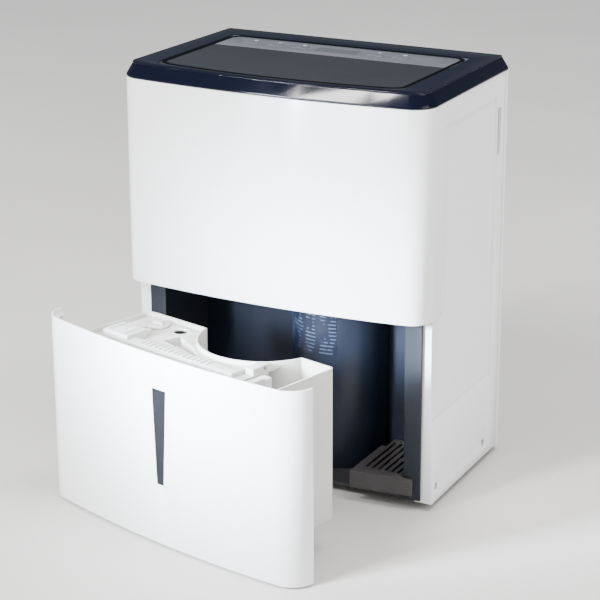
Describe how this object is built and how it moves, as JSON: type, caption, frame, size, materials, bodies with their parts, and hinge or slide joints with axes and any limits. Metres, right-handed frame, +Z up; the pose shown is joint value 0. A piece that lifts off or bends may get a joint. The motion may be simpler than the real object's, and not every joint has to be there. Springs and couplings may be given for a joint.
{
  "type": "dehumidifier",
  "caption": "Compressor dehumidifier on casters with a bowed front, dark top deck, rear filter and a pull-out water bucket with handle and float.",
  "frame": {"origin": "on the floor, under the middle of the casing's width and depth", "axes": "+Z up, +X to the right seen from the front, the front faces -Y; the bucket is drawn out towards -Y and turned"},
  "size_m": [0.403, 0.465, 0.48],
  "materials": {
    "white_casing": "glossy white moulded plastic",
    "black_rim": "polished black plastic",
    "deck_charcoal": "satin charcoal plastic",
    "strip_charcoal": "glossy charcoal control strip",
    "display_lens": "smoked display lens",
    "button_cap": "glossy charcoal button",
    "bay_slate": "slate grey bay plastic",
    "post_slate": "blue-grey post plastic",
    "base_grey": "dark grey base plastic",
    "shelf_grey": "grey shelf plastic",
    "label_film": null,
    "tub_white": "milky translucent plastic",
    "window_smoke": "smoked translucent window",
    "handle_white": "white handle plastic",
    "float_white": "white float",
    "caster_black": "black nylon",
    "wheel_rubber": "grey rubber tread",
    "fin_aluminium": "bare aluminium fins",
    "copper_pipe": "bare copper tube",
    "compressor_black": "black painted steel can",
    "motor_steel": "zinc plated motor can",
    "inner_white": "white inner moulding",
    "board_green": "green circuit board",
    "rubber_black": "black rubber",
    "filter_white": "filter frame plastic",
    "filter_net": "woven filter net",
    "screw_steel": "zinc plated screw",
    "foot_black": "black nylon glide"
  },
  "bodies": {
    "casing": {"front_panel": "white_casing", "side_panel_left": "white_casing", "side_panel_right": "white_casing", "rear_panel": "white_casing", "grip_cup_left": "white_casing", "grip_cup_right": "white_casing", "shelf_left": "shelf_grey", "shelf_right": "shelf_grey", "top_rim": "black_rim", "top_deck": "deck_charcoal", "control_strip": "strip_charcoal", "display_window": "display_lens", "control_board": "board_green", "base_tray": "base_grey", "bay_post_left": "post_slate", "bay_post_right": "post_slate", "bay_liner": "bay_slate", "compressor_cover": "bay_slate", "info_label": "label_film", "condenser": "fin_aluminium", "evaporator": "fin_aluminium", "drip_tray": "inner_white", "fan_scroll": "inner_white", "fan_motor": "motor_steel", "compressor": "compressor_black", "compressor_grommets": "rubber_black", "suction_pipe": "copper_pipe", "discharge_pipe": "copper_pipe", "run_capacitor": "inner_white", "outlet_grille": "bay_slate", "drain_port": "inner_white", "cord_gland": "rubber_black", "bucket_switch": "base_grey", "casing_screws": "screw_steel"},
    "bucket_foot": {"glide_foot": "foot_black"},
    "bucket": {"bucket_front": "white_casing", "water_window": "window_smoke", "tub": "tub_white", "tub_cover": "tub_white"},
    "bucket_handle": {"bucket_handle": "handle_white"},
    "pour_cap": {"pour_cap": "tub_white"},
    "bucket_float": {"bucket_float": "float_white"},
    "fan_rotor": {"blower_rotor": "caster_black"},
    "filter": {"filter_frame": "filter_white", "filter_mesh": "filter_net"},
    "drain_plug": {"drain_plug": "rubber_black"},
    "switch_lever": {"switch_lever": "caster_black"},
    "button_power": {"button_power": "button_cap"},
    "button_mode": {"button_mode": "button_cap"},
    "button_fan": {"button_fan": "button_cap"},
    "button_down": {"button_down": "button_cap"},
    "button_up": {"button_up": "button_cap"},
    "fork_front_left": {"caster_fork_front_left": "caster_black"},
    "wheel_front_left": {"caster_wheel_front_left": "wheel_rubber"},
    "fork_front_right": {"caster_fork_front_right": "caster_black"},
    "wheel_front_right": {"caster_wheel_front_right": "wheel_rubber"},
    "fork_rear_left": {"caster_fork_rear_left": "caster_black"},
    "wheel_rear_left": {"caster_wheel_rear_left": "wheel_rubber"},
    "fork_rear_right": {"caster_fork_rear_right": "caster_black"},
    "wheel_rear_right": {"caster_wheel_rear_right": "wheel_rubber"}
  },
  "joints": [
    {"name": "bucket_slide", "type": "slide", "parent": "casing", "child": "bucket_foot", "axis": [0.0649, 0.9979, 0], "range_m": [0, 0.15095]},
    {"name": "bucket_turn", "type": "hinge", "parent": "bucket_foot", "child": "bucket", "pos_m": [-0.1048, -0.17563, 0.0383], "axis": [0, 0, 1], "range_deg": [0, 14.48]},
    {"name": "handle_fold", "type": "hinge", "parent": "bucket", "child": "bucket_handle", "pos_m": [-0.02031, -0.22842, 0.2076], "axis": [0.9683, -0.2499, 0], "range_deg": [-90, 0]},
    {"name": "cap_lift", "type": "slide", "parent": "bucket", "child": "pour_cap", "axis": [0, 0, 1], "range_m": [0, 0.012]},
    {"name": "float_lift", "type": "hinge", "parent": "bucket", "child": "bucket_float", "pos_m": [0.06846, -0.29264, 0.196], "axis": [0.9683, -0.2499, 0], "range_deg": [0, 15]},
    {"name": "fan_spin", "type": "hinge", "parent": "casing", "child": "fan_rotor", "pos_m": [0.01, 0, 0.345], "axis": [0, 1, 0], "continuous": true},
    {"name": "filter_pull", "type": "slide", "parent": "casing", "child": "filter", "axis": [0, 1, 0], "range_m": [0, 0.04]},
    {"name": "drain_plug_pull", "type": "slide", "parent": "casing", "child": "drain_plug", "axis": [0, 1, 0], "range_m": [0, 0.015]},
    {"name": "switch_press", "type": "hinge", "parent": "casing", "child": "switch_lever", "pos_m": [0.12, -0.0045, 0.2145], "axis": [1, 0, 0], "range_deg": [0, 5], "stiffness_Nm_per_rad": 0.05},
    {"name": "power_press", "type": "slide", "parent": "casing", "child": "button_power", "axis": [0, 0, -1], "range_m": [0, 0.001], "stiffness_N_per_m": 1000},
    {"name": "mode_press", "type": "slide", "parent": "casing", "child": "button_mode", "axis": [0, 0, -1], "range_m": [0, 0.001], "stiffness_N_per_m": 1000},
    {"name": "fan_press", "type": "slide", "parent": "casing", "child": "button_fan", "axis": [0, 0, -1], "range_m": [0, 0.001], "stiffness_N_per_m": 1000},
    {"name": "down_press", "type": "slide", "parent": "casing", "child": "button_down", "axis": [0, 0, -1], "range_m": [0, 0.001], "stiffness_N_per_m": 1000},
    {"name": "up_press", "type": "slide", "parent": "casing", "child": "button_up", "axis": [0, 0, -1], "range_m": [0, 0.001], "stiffness_N_per_m": 1000},
    {"name": "swivel_front_left", "type": "hinge", "parent": "casing", "child": "fork_front_left", "pos_m": [-0.125, -0.052, 0.026], "axis": [0, 0, 1], "continuous": true},
    {"name": "roll_front_left", "type": "hinge", "parent": "fork_front_left", "child": "wheel_front_left", "pos_m": [-0.125, -0.045, 0.01], "axis": [1, 0, 0], "continuous": true},
    {"name": "swivel_front_right", "type": "hinge", "parent": "casing", "child": "fork_front_right", "pos_m": [0.125, -0.052, 0.026], "axis": [0, 0, 1], "continuous": true},
    {"name": "roll_front_right", "type": "hinge", "parent": "fork_front_right", "child": "wheel_front_right", "pos_m": [0.125, -0.045, 0.01], "axis": [1, 0, 0], "continuous": true},
    {"name": "swivel_rear_left", "type": "hinge", "parent": "casing", "child": "fork_rear_left", "pos_m": [-0.136, 0.084, 0.026], "axis": [0, 0, 1], "continuous": true},
    {"name": "roll_rear_left", "type": "hinge", "parent": "fork_rear_left", "child": "wheel_rear_left", "pos_m": [-0.136, 0.091, 0.01], "axis": [1, 0, 0], "continuous": true},
    {"name": "swivel_rear_right", "type": "hinge", "parent": "casing", "child": "fork_rear_right", "pos_m": [0.136, 0.084, 0.026], "axis": [0, 0, 1], "continuous": true},
    {"name": "roll_rear_right", "type": "hinge", "parent": "fork_rear_right", "child": "wheel_rear_right", "pos_m": [0.136, 0.091, 0.01], "axis": [1, 0, 0], "continuous": true}
  ],
  "couplings": [
    {"joint": "bucket_turn", "follows": "bucket_slide", "rad_per_m": 1.673}
  ]
}
